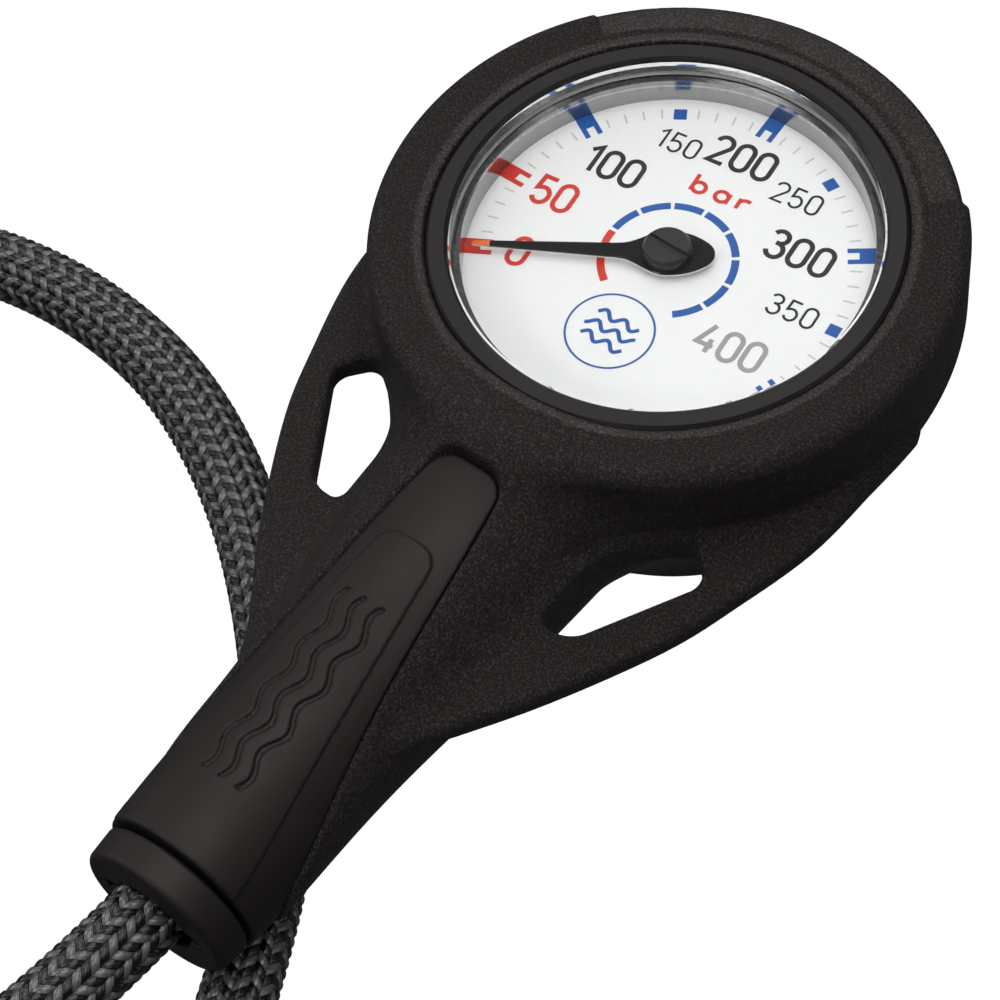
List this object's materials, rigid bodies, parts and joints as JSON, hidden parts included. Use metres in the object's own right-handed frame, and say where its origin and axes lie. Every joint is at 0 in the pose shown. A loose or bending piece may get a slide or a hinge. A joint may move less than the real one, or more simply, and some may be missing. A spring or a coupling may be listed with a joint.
{
  "type": "submersible pressure gauge with hose",
  "caption": "Diver's round pressure gauge in a rubber boot with clip loops and a tapered grip, on a braided high pressure hose that ends in a threaded fitting.",
  "frame": {"origin": "the boot's flat back face, under the dial's centre", "axes": "+Z out of the dial along its axis, -Y along the grip, +X to the dial's right; the boot mirrors across X = 0"},
  "size_m": [0.1695, 0.2198, 0.036],
  "materials": {
    "boot_rubber": "fine spark-eroded texture, matt",
    "sleeve_rubber": "smooth moulded, low sheen",
    "case_metal": "nickel plated, satin",
    "plug_plastic": "moulded",
    "bezel_plastic": "smooth satin black",
    "lens_clear": "clear polished",
    "seal_rubber": "smooth",
    "seal_white": "smooth, white",
    "dial_ring_satin": "satin",
    "dial_white": "white with printed scale",
    "pointer_black": "gloss black",
    "steel": "turned",
    "brass": "stamped and turned",
    "spring_bronze": "spring bronze",
    "plated_brass": "chrome plated brass",
    "ferrule_steel": "crimped stainless",
    "hose_braid": "glossy black and grey braided sleeve"
  },
  "bodies": {
    "root": {"boot_shell": "boot_rubber", "grip_sleeve": "sleeve_rubber", "end_collar": "sleeve_rubber", "gauge_case": "case_metal", "blowout_plug": "plug_plastic", "bezel_ring": "bezel_plastic", "lens": "lens_clear", "lens_gasket": "seal_white", "dial_ring": "dial_ring_satin", "dial_plate": "dial_white", "lower_plate": "brass", "upper_plate": "brass", "plate_pillars": "brass", "plate_screws": "steel", "movement_screws": "steel", "bourdon_tube": "spring_bronze", "inlet_socket": "plated_brass", "stem_o_ring": "seal_rubber", "restrictor": "brass", "air_spool": "plated_brass", "spool_o_rings": "seal_rubber", "swivel_nut": "plated_brass", "far_ferrule": "ferrule_steel", "port_fitting": "plated_brass", "port_o_ring": "seal_rubber", "hose_near": "hose_braid", "hose_far": "hose_braid", "hose_coil": "hose_braid"},
    "pointer": {"pointer": "pointer_black", "pointer_hub": "pointer_black", "pinion_arbor": "steel", "hairspring": "spring_bronze"},
    "sector": {"sector_gear": "brass", "sector_arbor": "steel", "link_pin": "steel"},
    "link": {"link_bar": "brass"},
    "tube_tip": {"bourdon_tip": "brass", "tip_pin": "steel"},
    "swivel": {"hose_insert": "plated_brass", "crimp_ferrule": "ferrule_steel"}
  },
  "joints": [
    {"name": "sector_swing", "type": "hinge", "parent": "root", "child": "sector", "pos_m": [-0.01528, -0.00381, 0.0164], "axis": [0, 0, 1], "range_deg": [0, 28.96]},
    {"name": "pointer_spin", "type": "hinge", "parent": "root", "child": "pointer", "pos_m": [0, 0, 0.028], "axis": [0, 0, 1], "range_deg": [-231.69, 0], "deforming": ["hairspring"]},
    {"name": "link_pivot", "type": "hinge", "parent": "sector", "child": "link", "pos_m": [-0.01159, -0.00124, 0.0178], "axis": [0, 0, 1], "range_deg": [-32.6, 0]},
    {"name": "tip_travel", "type": "slide", "parent": "root", "child": "tube_tip", "axis": [-0.5707, 0.8211, 0], "range_m": [0, 0.00217], "deforming": ["bourdon_tube"]},
    {"name": "hose_swivel", "type": "hinge", "parent": "root", "child": "swivel", "pos_m": [0, -0.05, 0.019], "axis": [0, 1, 0], "continuous": true}
  ],
  "couplings": [
    {"joint": "pointer_spin", "follows": "sector_swing", "ratio": -8},
    {"joint": "link_pivot", "follows": "sector_swing", "ratio": -1.1243},
    {"joint": "tip_travel", "follows": "sector_swing", "m_per_rad": 0.004273}
  ]
}
